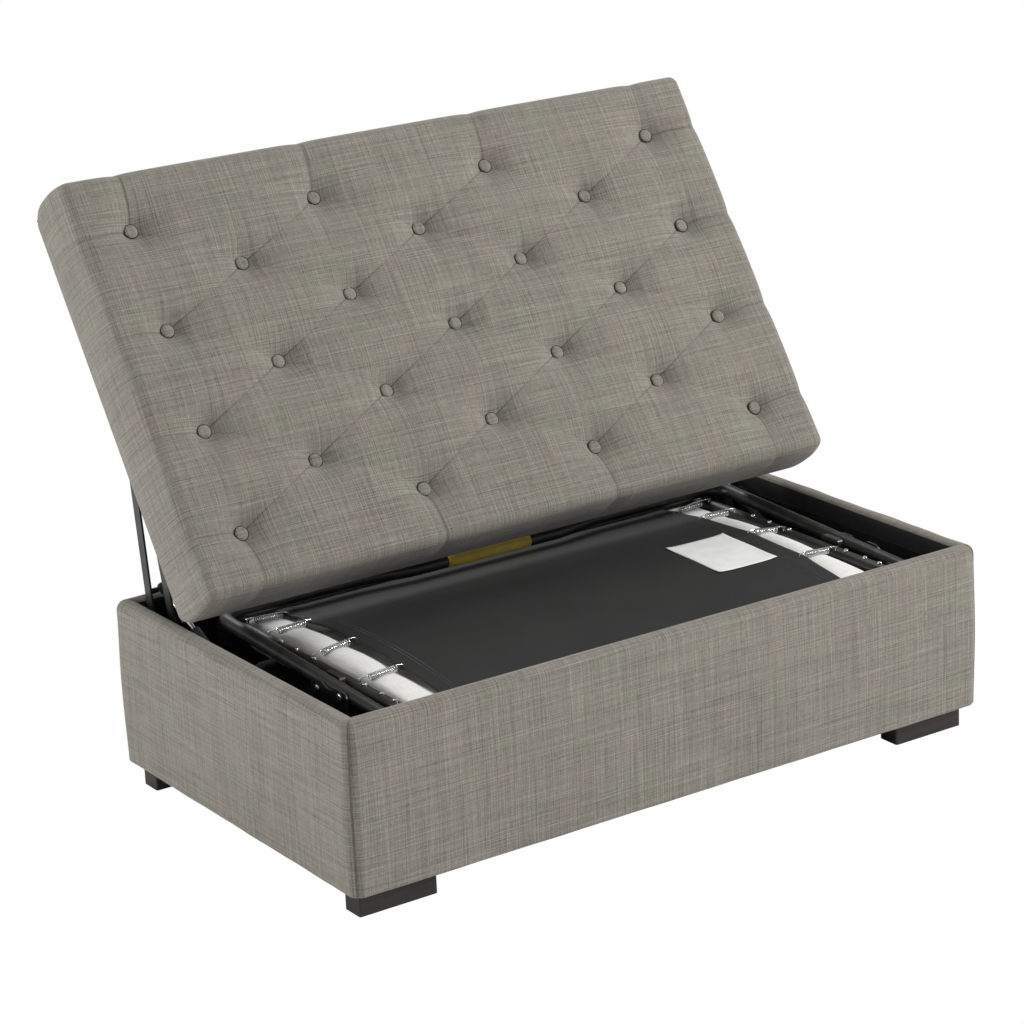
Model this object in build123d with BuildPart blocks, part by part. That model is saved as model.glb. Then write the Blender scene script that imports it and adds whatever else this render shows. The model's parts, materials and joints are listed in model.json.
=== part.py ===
"""Fold-out ottoman guest bed with a tufted lid that lifts on four-bar arms, in millimetres.

X runs along the ottoman, +Y to its back and +Z up. The origin is on the floor under the box's middle.
The lid stands open and the three bed sections lie folded in the box.
"""
from build123d import *
from math import atan2, cos, degrees, hypot, pi, radians, sin, sqrt
import os

os.makedirs("parts", exist_ok=True)

# Box
box_length = 1067.0
box_depth = 630.0
rim_height = 280.0
wall_thickness = 30.0
board_thickness = 18.0
corner_radius = 16.0
rim_roll_radius = 13.0
rim_pad_height = 30.0
floor_panel_thickness = 12.0
fit_gap = 0.5
overrun = 20.0

# Feet
foot_height = 35.0
foot_length = 121.0
foot_width = 37.0
foot_inset_x = 17.0
foot_inset_y = 21.0
foot_edge_radius = 3.0

# Lid
lid_gap = 2.0
lid_thickness = 120.0
lid_edge_radius = 38.0
lid_corner_radius = 34.0
lid_board_thickness = 18.0
lid_board_inset = 9.0
dust_cover_thickness = 2.0
lid_open_angle = 55.9
lid_open_setback = 19.2
lid_open_rise = 267.8
button_columns = 4
button_row_count = 7
button_edge_x = 89.5
button_edge_y = 87.0
button_diameter = 22.0
button_thickness = 9.0
tuft_depth = 22.0
tuft_mouth = 76.0
crease_depth = 9.0

# Lid arms
plate_thickness = 3.0
plate_gap = 1.0
arm_width = 17.0
pin_diameter = 8.0
pin_clearance = 0.4
pin_head_diameter = 14.0
pin_head_height = 2.0
rear_arm_inset = 53.0
rear_arm_drop = 45.0
front_arm_inset = 110.0
front_arm_drop = 75.0
lid_pivot_drop = 16.0
lid_bracket_length = 130.0
lid_bracket_flange = 24.0
side_plate_margin = 20.0

# Gas springs
gas_foot_inset = 240.0
gas_foot_drop = 75.0
gas_stud_radius = 60.0
gas_axis_inset = 57.0
gas_tube_diameter = 16.0
gas_tube_length = 118.0
gas_bore_diameter = 9.0
gas_bore_start = 25.0
gas_rod_diameter = 8.0
gas_rod_length = 96.0
gas_socket_diameter = 13.0
gas_socket_length = 16.0

# Folded bed
section_front_gap = 50.0
section_back_gap = 105.0
rail_diameter = 20.0
rail_wall = 1.6
rail_inset = 121.5
head_rail_rise = 29.0
middle_rail_drop = 30.0
foot_rail_share = 0.3678
foot_section_inset = 26.0
mattress_clearance = 18.0
mattress_side_gap = 6.0
mattress_edge_radius = 18.0
deck_side_gap = 66.0
deck_thickness = 2.0
deck_arch = 9.0
deck_end_gap = 0.3
hinge_plate_width = 34.0

# Bed pivot
bed_pivot_inset = 190.0
bed_pivot_rise = 54.0
bed_bracket_width = 46.0
bed_bracket_gap = 1.0
bed_bracket_base = 26.0

# Springs between rail and deck
spring_shares = (0.884, 0.747, 0.499, 0.246)
spring_wire = 1.8
spring_curl_radius = 4.2
spring_pitch = 2.6
spring_curls = 12
spring_lift = 10.0

# Leg on the middle section
leg_diameter = 20.0
leg_inset = 91.5
leg_rise = 20.5
leg_pin_rise = 6.0
leg_front_gap = 5.0
leg_back_inset = 139.0
leg_corner_radius = 36.0
leg_joggle = 16.0
leg_joggle_outer = 210.0
leg_joggle_inner = 130.0
leg_plate_length = 92.0
leg_plate_height = 34.0
leg_bracket_length = 40.0
latch_front_gap = 90.0
latch_pin_spacing = 60.0
latch_notch_radius = 30.0
latch_notch_depth = 6.0

# Rivets and label
rivet_diameter = 7.0
rivet_height = 2.5
rivet_shares = (0.667, 0.583, 0.485, 0.21, 0.12, 0.052)
label_width = 106.0
label_length = 128.0
label_inset = 91.0
label_front_gap = 193.0
label_thickness = 0.6

sides = (("left", -1), ("right", 1))
half_length = box_length / 2
half_depth = box_depth / 2
inner_half_length = half_length - wall_thickness
inner_half_depth = half_depth - wall_thickness
board_top = rim_height - rim_pad_height
lid_open_y = half_depth - lid_open_setback
lid_open_z = rim_height + lid_open_rise
button_pitch_x = (box_length - 2 * button_edge_x) / (button_columns - 1)
button_pitch_y = (box_depth - 2 * button_edge_y) / (button_row_count - 1)
rear_arm_y = half_depth - rear_arm_inset
rear_arm_z = rim_height - rear_arm_drop
front_arm_y = half_depth - front_arm_inset
front_arm_z = rim_height - front_arm_drop
gas_foot_y = half_depth - gas_foot_inset
gas_foot_z = rim_height - gas_foot_drop
section_front_y = -half_depth + section_front_gap
section_back_y = half_depth - section_back_gap
section_length = section_back_y - section_front_y
rail_x = half_length - rail_inset
head_rail_z = foot_height + floor_panel_thickness + head_rail_rise
middle_rail_z = rim_height - middle_rail_drop
foot_rail_z = head_rail_z + foot_rail_share * (middle_rail_z - head_rail_z)
mattress_thickness = foot_rail_z - head_rail_z - mattress_clearance
deck_half_width = rail_x - deck_side_gap
bed_pivot_y = half_depth - bed_pivot_inset
bed_pivot_z = head_rail_z + bed_pivot_rise
spring_places = [section_front_y + share * section_length for share in spring_shares]
rivet_places = [section_front_y + share * section_length for share in rivet_shares]
leg_x = half_length - leg_inset
leg_z = middle_rail_z + leg_rise
leg_front_y = section_front_y + leg_front_gap
leg_back_y = half_depth - leg_back_inset
latch_pivot_y = section_front_y + latch_front_gap
latch_middle_y = latch_pivot_y + latch_pin_spacing / 2
latch_pivot_z = middle_rail_z + leg_pin_rise
leg_slope = (leg_z - latch_pivot_z) / (leg_back_y - latch_pivot_y)
leg_front_z = latch_pivot_z + (leg_front_y - latch_pivot_y) * leg_slope
label_x = deck_half_width - label_inset
label_y = section_front_y + label_front_gap


def save(part, name):
    """Label a finished piece and write it."""
    part.label = name
    export_step(part, f"parts/{name}.step")


def yz_plane(x):
    """A plane square to X, whose own axes are the object's Y and Z."""
    return Plane(origin=(x, 0, 0), x_dir=(0, 1, 0), z_dir=(1, 0, 0))


def wedge(name):
    """The plan outline of one wall, mitred at the box's corners."""
    far_x, far_y = half_length + overrun, half_depth + overrun
    near_x, near_y = far_x - half_depth, 0
    front = [(-far_x, -far_y), (far_x, -far_y), (near_x, near_y), (-near_x, near_y)]
    right = [(far_x, -far_y), (far_x, far_y), (near_x, near_y)]
    if name == "front":
        return front
    if name == "back":
        return [(x, -y) for x, y in front]
    if name == "right":
        return right
    return [(-x, y) for x, y in right]


# Upholstered walls, a padded roll over a wooden board, mitred at the corners
with BuildPart() as cover_ring:
    with BuildSketch(Plane.XY.offset(foot_height)):
        RectangleRounded(box_length, box_depth, corner_radius)
        Rectangle(2 * inner_half_length + 2 * board_thickness,
                  2 * inner_half_depth + 2 * board_thickness, mode=Mode.SUBTRACT)
    extrude(amount=board_top - foot_height)
    with BuildSketch(Plane.XY.offset(board_top)):
        RectangleRounded(box_length, box_depth, corner_radius)
        Rectangle(2 * inner_half_length, 2 * inner_half_depth, mode=Mode.SUBTRACT)
    extrude(amount=rim_pad_height)
    fillet(cover_ring.edges().group_by(Axis.Z)[-1], radius=rim_roll_radius)

with BuildPart() as board_ring:
    with BuildSketch(Plane.XY.offset(foot_height)):
        Rectangle(2 * inner_half_length + 2 * board_thickness, 2 * inner_half_depth + 2 * board_thickness)
        Rectangle(2 * inner_half_length, 2 * inner_half_depth, mode=Mode.SUBTRACT)
    extrude(amount=board_top - foot_height)

for side in ("front", "back", "left", "right"):
    with BuildPart() as wall_cover:
        add(cover_ring.part)
        with BuildSketch(Plane.XY):
            Polygon(*wedge(side), align=None)
        extrude(amount=rim_height + overrun, mode=Mode.INTERSECT)
    save(wall_cover.part, f"wall_cover_{side}")
    with BuildPart() as wall_board:
        add(board_ring.part)
        with BuildSketch(Plane.XY):
            Polygon(*wedge(side), align=None)
        extrude(amount=rim_height + overrun, mode=Mode.INTERSECT)
    save(wall_board.part, f"wall_board_{side}")

# Floor panel of the box
with BuildPart() as floor_panel:
    with BuildSketch(Plane.XY.offset(foot_height)):
        Rectangle(2 * inner_half_length, 2 * inner_half_depth)
    extrude(amount=floor_panel_thickness)
save(floor_panel.part, "floor_panel")
panel_top = foot_height + floor_panel_thickness

# Four block feet under the corners
for end, end_sign in (("front", -1), ("back", 1)):
    for side, sign in sides:
        with BuildPart() as foot:
            with BuildSketch(Plane.XY):
                with Locations((sign * (half_length - foot_inset_x - foot_length / 2),
                                end_sign * (half_depth - foot_inset_y - foot_width / 2))):
                    RectangleRounded(foot_length, foot_width, foot_edge_radius)
            extrude(amount=foot_height)
        save(foot.part, f"foot_{end}_{side}")

# The lid's own plane lies on its underside, with local Y up the open lid
tilt = radians(lid_open_angle)
lid_plane = Plane(origin=(0, lid_open_y, lid_open_z), x_dir=(1, 0, 0), z_dir=(0, -sin(tilt), cos(tilt)))
lid_axis = Axis((0, lid_open_y, lid_open_z), (0, -sin(tilt), cos(tilt)))
board_base = dust_cover_thickness
board_face = board_base + lid_board_thickness
button_face = lid_thickness - tuft_depth

with BuildPart() as dust_cover:
    with BuildSketch(lid_plane):
        Rectangle(box_length - 2 * lid_board_inset, box_depth - 2 * lid_board_inset)
    extrude(amount=dust_cover_thickness)
save(dust_cover.part, "lid_dust_cover")

with BuildPart() as lid_board:
    with BuildSketch(lid_plane.offset(board_base)):
        Rectangle(box_length - 2 * lid_board_inset, box_depth - 2 * lid_board_inset)
    extrude(amount=lid_board_thickness)
save(lid_board.part, "lid_board")


def button_rows():
    """Button places on the lid's face, in rows of four and three by turns."""
    rows = []
    for row in range(button_row_count):
        count = button_columns - row % 2
        offset = (count - 1) / 2
        y = ((button_row_count - 1) / 2 - row) * button_pitch_y
        rows.append([((i - offset) * button_pitch_x, y) for i in range(count)])
    return rows


rows = button_rows()
places = [p for row in rows for p in row]
creases = []
for upper, lower in zip(rows, rows[1:]):
    for a in upper:
        for b in lower:
            if abs(a[0] - b[0]) < button_pitch_x:
                creases.append((a, b))

with BuildPart() as cushion:
    with BuildSketch(lid_plane):
        RectangleRounded(box_length, box_depth, lid_corner_radius)
    extrude(amount=lid_thickness)
    fillet(cushion.faces().sort_by(lid_axis)[-1].edges(), radius=lid_edge_radius)
    with BuildSketch(lid_plane):
        Rectangle(box_length - 2 * lid_board_inset, box_depth - 2 * lid_board_inset)
    extrude(amount=board_face, mode=Mode.SUBTRACT)
    for (ax, ay), (bx, by) in creases:
        run = hypot(bx - ax, by - ay)
        across = Plane(origin=lid_plane.from_local_coords((ax, ay, lid_thickness)),
                       x_dir=lid_plane.z_dir, z_dir=lid_plane.from_local_coords((bx, by, lid_thickness))
                       - lid_plane.from_local_coords((ax, ay, lid_thickness)))
        with BuildSketch(across):
            Polygon((-crease_depth, 0), (crease_depth, 2 * crease_depth),
                    (crease_depth, -2 * crease_depth), align=None)
        extrude(amount=run, mode=Mode.SUBTRACT)
    for x, y in places:
        with BuildSketch(Plane(origin=lid_plane.from_local_coords((x, y, button_face)),
                               x_dir=(1, 0, 0), z_dir=lid_plane.z_dir)):
            Circle(button_diameter / 2)
        extrude(amount=2 * tuft_depth, taper=-degrees(atan2((tuft_mouth - button_diameter) / 2, tuft_depth)),
                mode=Mode.SUBTRACT)
save(cushion.part, "lid_cushion")

with BuildPart() as buttons:
    for x, y in places:
        with BuildSketch(Plane(origin=lid_plane.from_local_coords((x, y, button_face)),
                               x_dir=(1, 0, 0), z_dir=lid_plane.z_dir)):
            Circle(button_diameter / 2 - fit_gap)
        extrude(amount=button_thickness)
    fillet(buttons.edges().group_by(lid_axis)[-1], radius=button_thickness / 2)
save(buttons.part, "lid_buttons")

# The lid linkage, worked out in the YZ plane
up_lid = Vector(0, cos(tilt), sin(tilt))
out_lid = Vector(0, -sin(tilt), cos(tilt))
edge_closed = Vector(0, -half_depth, rim_height + lid_gap)
edge_open = Vector(0, lid_open_y, lid_open_z) - up_lid * half_depth


def lid_pivot(base):
    """Where an arm from this base pin meets the lid: as far from the pin when closed as when open."""
    closed = edge_closed - Vector(0, 0, lid_pivot_drop) - base
    opened = edge_open - out_lid * lid_pivot_drop - base
    reach = (opened.dot(opened) - closed.dot(closed)) / (2 * (closed.Y - opened.dot(up_lid)))
    return reach, base + closed + Vector(0, reach, 0), base + opened + up_lid * reach


rear_base = Vector(0, rear_arm_y, rear_arm_z)
front_base = Vector(0, front_arm_y, front_arm_z)
rear_reach, rear_closed, rear_open = lid_pivot(rear_base)
front_reach, front_closed, front_open = lid_pivot(front_base)

side_plate_x = inner_half_length - plate_thickness
rear_arm_x = side_plate_x - plate_gap - plate_thickness
lid_plate_x = rear_arm_x - plate_gap - plate_thickness
front_arm_x = lid_plate_x - plate_gap - plate_thickness
gas_x = inner_half_length - gas_axis_inset / 2
stud_at = rear_base + (rear_open - rear_base).normalized() * gas_stud_radius
gas_base = Vector(0, gas_foot_y, gas_foot_z)
gas_line = stud_at - gas_base
gas_direction = gas_line.normalized()
turn_closed = radians(degrees(atan2(rear_closed.Z - rear_base.Z, rear_closed.Y - rear_base.Y)))
stud_closed = rear_base + Vector(0, cos(turn_closed), sin(turn_closed)) * gas_stud_radius


def bar_outline(a, b, width):
    """A flat bar with round ends between two pins."""
    line = b - a
    middle = (a + b) * 0.5
    with Locations((middle.Y, middle.Z)):
        SlotCenterToCenter(line.length, width, rotation=degrees(atan2(line.Z, line.Y)))


for side, sign in sides:
    with BuildPart() as side_plate:
        low_z = min(front_arm_z, gas_foot_z) - side_plate_margin
        with BuildSketch(yz_plane(sign * side_plate_x)):
            with Locations(((gas_foot_y + rear_arm_y) / 2, (low_z + board_top) / 2)):
                RectangleRounded(rear_arm_y - gas_foot_y + 2 * side_plate_margin, board_top - low_z, arm_width / 2)
        extrude(amount=sign * plate_thickness)
        rear_head = rear_arm_x - fit_gap
        front_head = front_arm_x - fit_gap
        for x0, x1, at, diameter in (
            (side_plate_x, rear_head, rear_base, pin_diameter),
            (rear_head, rear_head - pin_head_height, rear_base, pin_head_diameter),
            (side_plate_x, lid_plate_x - plate_gap / 2, front_base, 2 * pin_diameter),
            (side_plate_x, front_head, front_base, pin_diameter),
            (front_head, front_head - pin_head_height, front_base, pin_head_diameter),
            (side_plate_x, gas_x + gas_tube_diameter / 4 + fit_gap, gas_base, pin_diameter),
        ):
            with BuildSketch(yz_plane(sign * x0)):
                with Locations((at.Y, at.Z)):
                    Circle(diameter / 2)
            extrude(amount=sign * (x1 - x0))
    save(side_plate.part, f"side_plate_{side}")

    with BuildPart() as rear_arm:
        with BuildSketch(yz_plane(sign * rear_arm_x)):
            bar_outline(rear_base, rear_open, arm_width)
            with Locations((rear_base.Y, rear_base.Z), (rear_open.Y, rear_open.Z)):
                Circle((pin_diameter + pin_clearance) / 2, mode=Mode.SUBTRACT)
        extrude(amount=sign * plate_thickness)
        with BuildSketch(yz_plane(sign * rear_arm_x)):
            with Locations((stud_at.Y, stud_at.Z)):
                Circle(pin_diameter / 2)
        extrude(amount=sign * (gas_x + gas_tube_diameter / 2 + fit_gap - rear_arm_x))
    save(rear_arm.part, f"rear_arm_{side}")

    with BuildPart() as front_arm:
        with BuildSketch(yz_plane(sign * front_arm_x)):
            bar_outline(front_base, front_open, arm_width)
            with Locations((front_base.Y, front_base.Z)):
                Circle((pin_diameter + pin_clearance) / 2, mode=Mode.SUBTRACT)
        extrude(amount=sign * plate_thickness)
    save(front_arm.part, f"front_arm_{side}")

    with BuildPart() as lid_bracket:
        middle_reach = (rear_reach + front_reach) / 2 - half_depth
        with BuildSketch(lid_plane):
            with Locations((sign * (lid_plate_x + plate_thickness - lid_bracket_flange / 2), middle_reach)):
                Rectangle(lid_bracket_flange, lid_bracket_length)
        extrude(amount=-plate_thickness)
        with BuildSketch(yz_plane(sign * lid_plate_x)):
            bar_outline(front_open, rear_open, 2 * (lid_pivot_drop - fit_gap))
        extrude(amount=sign * plate_thickness)
        with BuildSketch(yz_plane(sign * lid_plate_x)):
            with Locations((rear_open.Y, rear_open.Z)):
                Circle(pin_diameter / 2)
        extrude(amount=sign * (rear_arm_x + plate_thickness - lid_plate_x))
    save(lid_bracket.part, f"lid_bracket_{side}")

    gas_plane = Plane(origin=(sign * gas_x, gas_foot_y, gas_foot_z), x_dir=(1, 0, 0), z_dir=gas_direction)
    with BuildPart() as gas_tube:
        with BuildSketch(gas_plane.offset(gas_tube_diameter / 2)):
            Circle(gas_tube_diameter / 2)
        extrude(amount=gas_tube_length - gas_tube_diameter / 2)
        with BuildSketch(yz_plane(sign * (gas_x - gas_tube_diameter / 4))):
            with Locations((gas_base.Y, gas_base.Z)):
                Circle(gas_tube_diameter / 2 + fit_gap)
        extrude(amount=sign * gas_tube_diameter / 2)
        with BuildSketch(gas_plane.offset(gas_bore_start)):
            Circle(gas_bore_diameter / 2)
        extrude(amount=gas_tube_length, mode=Mode.SUBTRACT)
    save(gas_tube.part, f"gas_tube_{side}")

    socket_start = gas_line.length - gas_socket_length / 2
    with BuildPart() as gas_rod:
        with BuildSketch(gas_plane.offset(socket_start - fit_gap - gas_rod_length)):
            Circle(gas_rod_diameter / 2)
        extrude(amount=gas_rod_length)
    save(gas_rod.part, f"gas_rod_{side}")

    with BuildPart() as gas_socket:
        with BuildSketch(gas_plane.offset(socket_start)):
            Circle(gas_socket_diameter / 2)
        extrude(amount=gas_socket_length)
        fillet(gas_socket.edges(), radius=gas_socket_diameter / 4)
    save(gas_socket.part, f"gas_socket_{side}")

# Steel tube frames, cloth decks and mattresses of the three bed sections
bar_half = rail_x - rail_diameter / 2
mattress_half_width = bar_half - mattress_side_gap
sections = (
    ("head", section_front_y, section_back_y, head_rail_z, 1),
    ("foot_end", section_front_y + foot_section_inset, section_back_y, foot_rail_z, 1),
    ("middle", section_front_y, section_back_y, middle_rail_z, -1),
)
for name, front, back, rail_z, face in sections:
    for side, sign in sides:
        with BuildPart() as rail:
            with BuildSketch(Plane(origin=(sign * rail_x, front, rail_z), x_dir=(1, 0, 0), z_dir=(0, 1, 0))):
                Circle(rail_diameter / 2)
                Circle(rail_diameter / 2 - rail_wall, mode=Mode.SUBTRACT)
            extrude(amount=back - front)
        save(rail.part, f"{name}_rail_{side}")
    for end, at_y in (("front", front + rail_diameter / 2), ("back", back - rail_diameter / 2)):
        with BuildPart() as bar:
            with BuildSketch(yz_plane(-bar_half)):
                with Locations((at_y, rail_z)):
                    Circle(rail_diameter / 2)
                    Circle(rail_diameter / 2 - rail_wall, mode=Mode.SUBTRACT)
            extrude(amount=2 * bar_half)
        save(bar.part, f"{name}_bar_{end}")
    deck_front, deck_back = front + rail_diameter + deck_end_gap, back - rail_diameter - deck_end_gap
    arch = -face * deck_arch if name == "middle" else 0
    with BuildPart() as deck:
        with BuildSketch(yz_plane(-deck_half_width)):
            with BuildLine():
                low, high = rail_z - deck_thickness / 2, rail_z + deck_thickness / 2
                mid_y = (deck_front + deck_back) / 2
                if arch:
                    ThreePointArc((deck_front, low), (mid_y, low + arch), (deck_back, low))
                    Line((deck_back, low), (deck_back, high))
                    ThreePointArc((deck_back, high), (mid_y, high + arch), (deck_front, high))
                else:
                    Line((deck_front, low), (deck_back, low))
                    Line((deck_back, low), (deck_back, high))
                    Line((deck_back, high), (deck_front, high))
                Line((deck_front, high), (deck_front, low))
            make_face()
        extrude(amount=2 * deck_half_width)
    save(deck.part, f"{name}_deck")
    with BuildPart() as mattress:
        base_z = rail_z + face * (deck_thickness / 2 + fit_gap)
        with BuildSketch(Plane.XY.offset(base_z)):
            with Locations((0, (deck_front + deck_back) / 2)):
                RectangleRounded(2 * mattress_half_width, deck_back - deck_front, mattress_edge_radius)
        extrude(amount=face * mattress_thickness)
        fillet(mattress.edges().group_by(Axis.Z)[0 if face < 0 else -1], radius=mattress_edge_radius)
    save(mattress.part, f"{name}_mattress")


# Upright hinge plates beside the rails' ends join the sections
hinge_x = rail_x + rail_diameter / 2 + fit_gap
bed_pivot = Vector(0, bed_pivot_y, bed_pivot_z)
hinge_top_z = middle_rail_z + (rail_diameter - hinge_plate_width) / 2
for name, at_y, low_z in (
    ("front_hinges", section_front_y + hinge_plate_width / 2, head_rail_z),
    ("back_hinges", section_back_y - hinge_plate_width / 2, foot_rail_z),
):
    with BuildPart() as hinges:
        for side, sign in sides:
            with BuildSketch(yz_plane(sign * hinge_x)):
                with Locations((at_y, (low_z + hinge_top_z) / 2)):
                    SlotCenterToCenter(hinge_top_z - low_z, hinge_plate_width, rotation=90)
                if name == "back_hinges":
                    bar_outline(bed_pivot, Vector(0, at_y, low_z), pin_head_diameter + pin_diameter)
                    with Locations((bed_pivot_y, bed_pivot_z)):
                        Circle((pin_diameter + pin_clearance) / 2, mode=Mode.SUBTRACT)
            extrude(amount=sign * plate_thickness)
    save(hinges.part, name)

# Upright brackets on the floor panel carry the bed's two rear pivots
bracket_x = rail_x + rail_diameter / 2 + fit_gap + 2 * plate_thickness + bed_bracket_gap
with BuildPart() as bed_brackets:
    for side, sign in sides:
        with BuildSketch(yz_plane(sign * bracket_x)):
            with BuildLine():
                Polyline((bed_pivot_y - bed_bracket_width / 2, bed_pivot_z),
                         (bed_pivot_y - bed_bracket_width, panel_top),
                         (bed_pivot_y + bed_bracket_width, panel_top),
                         (bed_pivot_y + bed_bracket_width / 2, bed_pivot_z))
                ThreePointArc((bed_pivot_y + bed_bracket_width / 2, bed_pivot_z),
                              (bed_pivot_y, bed_pivot_z + bed_bracket_width / 2),
                              (bed_pivot_y - bed_bracket_width / 2, bed_pivot_z))
            make_face()
        extrude(amount=sign * plate_thickness)
        with BuildSketch(Plane.XY.offset(panel_top)):
            with Locations((sign * (bracket_x + bed_bracket_base / 2), bed_pivot_y)):
                Rectangle(bed_bracket_base, 2 * bed_bracket_width)
        extrude(amount=plate_thickness)
        with BuildSketch(yz_plane(sign * bracket_x)):
            with Locations((bed_pivot_y, bed_pivot_z)):
                Circle(pin_diameter / 2)
        extrude(amount=-sign * (bracket_x - hinge_x))
save(bed_brackets.part, "bed_brackets")

# Coil springs that stretch the middle deck between its rails
def biarc(p0, t0, p1, t1):
    """Two tangent arcs from p0 along t0 to p1 along t1."""
    v = p1 - p0
    t = t0 + t1
    bend = 2 * (1 - t0.dot(t1))
    reach = (-v.dot(t) + sqrt(v.dot(t) ** 2 + bend * v.dot(v))) / bend
    joint = (p0 + p1 + (t0 - t1) * reach) * 0.5
    first = TangentArc(p0, joint, tangent=t0)
    TangentArc(joint, p1, tangent=first % 1)


def curl(turn, start_x):
    """Place and direction on the spring's helix about X at this many turns."""
    angle = 2 * pi * turn
    at = Vector(start_x + spring_pitch * turn, spring_curl_radius * sin(angle), -spring_curl_radius * cos(angle))
    along = Vector(spring_pitch / (2 * pi), spring_curl_radius * cos(angle), spring_curl_radius * sin(angle))
    return at, along.normalized()


rail_edge = rail_x - rail_diameter / 4
deck_edge = deck_half_width + fit_gap
coil_length = spring_pitch * spring_curls
coil_start = (rail_edge + deck_edge - coil_length) / 2 - deck_edge
with BuildPart() as spring:
    with BuildLine() as spring_path:
        along_x = Vector(1, 0, 0)
        hook_start, hook_bend = Vector(-coil_start, 0, 0), Vector(-coil_start / 2, 0, 0)
        Line(hook_start, hook_bend)
        biarc(hook_bend, along_x, *curl(0, 0))
        for step in range(2 * spring_curls):
            biarc(*curl(step / 2, 0), *curl((step + 1) / 2, 0))
        far_bend = Vector(coil_length + coil_start / 2, 0, 0)
        biarc(*curl(spring_curls, 0), far_bend, along_x)
        Line(far_bend, Vector(coil_length + coil_start, 0, 0))
    with BuildSketch(Plane(origin=hook_start, z_dir=along_x)):
        Circle(spring_wire / 2)
    sweep(path=spring_path.wire())
samples = [curl(i / 24, 0)[0] for i in range(24 * spring_curls + 1)]
apart = min((a - b).length for i, a in enumerate(samples) for b in samples[i + 12:]) - spring_wire
print("least gap of a spring's curls to each other", round(apart, 3))

spring_z = middle_rail_z + spring_lift
for side, sign in sides:
    with BuildPart() as springs:
        for y in spring_places:
            with Locations(Location((sign * (deck_edge + coil_start + coil_length / 2), y, spring_z))
                           * Location((-coil_length / 2, 0, 0))):
                add(spring.part)
    save(springs.part, f"middle_springs_{side}")

# The middle section's bent leg, folded flat over its deck, with a headed pin for each latch plate
latch_x = leg_x + leg_diameter / 2 + fit_gap
pin_end = latch_x + plate_thickness + fit_gap
with BuildPart() as leg:
    with BuildLine() as leg_path:
        FilletPolyline((-leg_x, leg_front_y, leg_front_z), (-leg_x, leg_back_y, leg_z),
                       (-leg_joggle_outer, leg_back_y, leg_z),
                       (-leg_joggle_inner, leg_back_y - leg_joggle, leg_z),
                       (leg_joggle_inner, leg_back_y - leg_joggle, leg_z),
                       (leg_joggle_outer, leg_back_y, leg_z),
                       (leg_x, leg_back_y, leg_z), (leg_x, leg_front_y, leg_front_z),
                       radius=leg_corner_radius)
    with BuildSketch(Plane(origin=(-leg_x, leg_front_y, leg_front_z), z_dir=(0, 1, leg_slope))):
        Circle(leg_diameter / 2)
        Circle(leg_diameter / 2 - rail_wall, mode=Mode.SUBTRACT)
    sweep(path=leg_path.wire())
    for side, sign in sides:
        for x0, x1, diameter in ((leg_x, pin_end, pin_diameter),
                                 (pin_end, pin_end + pin_head_height, pin_head_diameter)):
            with BuildSketch(yz_plane(sign * x0)):
                with Locations((latch_pivot_y, latch_pivot_z)):
                    Circle(diameter / 2)
            extrude(amount=sign * (x1 - x0))
save(leg.part, "leg_tube")

# Latch plates on the leg's pins, hollowed along the top, and the brackets that hold the leg to its rails
latch_z = latch_pivot_z - leg_plate_height / 4
latch_top_z = latch_z + leg_plate_height / 2
for side, sign in sides:
    with BuildPart() as leg_latch:
        with BuildSketch(yz_plane(sign * latch_x)):
            with Locations((latch_middle_y, latch_z)):
                RectangleRounded(leg_plate_length, leg_plate_height, leg_plate_height / 3)
            with Locations((latch_middle_y, latch_top_z + latch_notch_radius - latch_notch_depth)):
                Circle(latch_notch_radius, mode=Mode.SUBTRACT)
            with Locations((latch_pivot_y, latch_pivot_z)):
                Circle((pin_diameter + pin_clearance) / 2, mode=Mode.SUBTRACT)
        extrude(amount=sign * plate_thickness)
    save(leg_latch.part, f"leg_latch_{side}")

with BuildPart() as leg_brackets:
    low_z, high_z = middle_rail_z - rail_diameter / 2, latch_pivot_z + leg_diameter / 2
    near_x, far_x = rail_x + rail_diameter / 2 + fit_gap, leg_x - leg_diameter / 2 - fit_gap
    for side, sign in sides:
        with BuildSketch(yz_plane(sign * near_x)):
            with Locations((latch_pivot_y + latch_pin_spacing, (low_z + high_z) / 2)):
                RectangleRounded(leg_bracket_length, high_z - low_z, rail_diameter / 4)
        extrude(amount=sign * (far_x - near_x))
save(leg_brackets.part, "leg_brackets")

with BuildPart() as rivets:
    with BuildSketch(Plane.XY.offset(middle_rail_z + rail_diameter / 2)):
        for side, sign in sides:
            with Locations(*[(sign * rail_x, y) for y in rivet_places]):
                Circle(rivet_diameter / 2)
    extrude(amount=rivet_height)
    fillet(rivets.edges().group_by(Axis.Z)[-1], radius=rivet_height / 2)
save(rivets.part, "rail_rivets")

with BuildPart() as label_card:
    with BuildSketch(Plane.XY.offset(middle_rail_z + deck_arch + deck_thickness / 2 + fit_gap)):
        with Locations((label_x, label_y)):
            RectangleRounded(label_width, label_length, rivet_height)
    extrude(amount=label_thickness)
save(label_card.part, "deck_label")

print("rear arm", tuple(rear_base), tuple(rear_open), tuple(rear_closed))
print("front arm", tuple(front_base), tuple(front_open), tuple(front_closed))
print("gas", tuple(gas_base), tuple(stud_at), tuple(stud_closed), gas_x)
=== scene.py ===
"""Dresses the fold-out ottoman guest bed: linen, tufting, mattresses, springs and paint. Metres, +Z up."""
import json
import math
import bmesh
import bpy
import numpy as np
from mathutils import Matrix, Vector


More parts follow.
